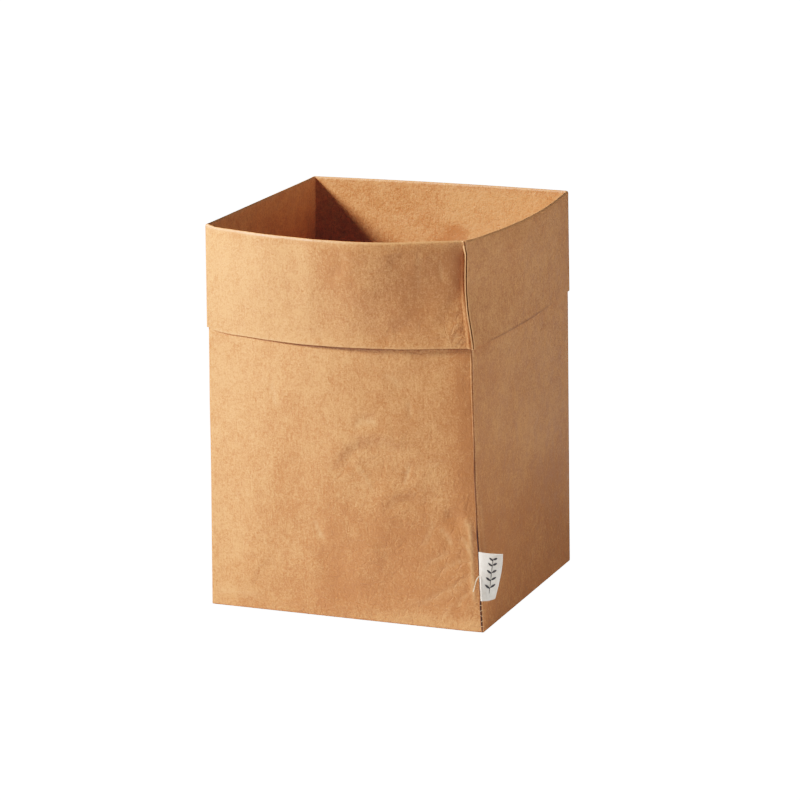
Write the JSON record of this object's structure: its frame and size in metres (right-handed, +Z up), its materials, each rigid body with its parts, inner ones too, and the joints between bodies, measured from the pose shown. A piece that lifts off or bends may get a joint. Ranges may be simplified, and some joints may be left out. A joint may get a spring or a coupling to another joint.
{
  "type": "paper storage bag",
  "caption": "Open square storage bag of washable kraft paper, its top folded outwards as a cuff, with a small bare cloth label sewn into a corner seam.",
  "frame": {"origin": "on the floor, at the middle of the square base", "axes": "+Z up through the open top, -Y towards the bowed front, +X towards the side where the label stands out"},
  "size_m": [0.1625, 0.1771, 0.206],
  "materials": {
    "kraft_paper": "matte",
    "label_tape": "matte"
  },
  "bodies": {
    "root": {"paper_bag": "kraft_paper", "cloth_label": "label_tape"}
  },
  "joints": []
}
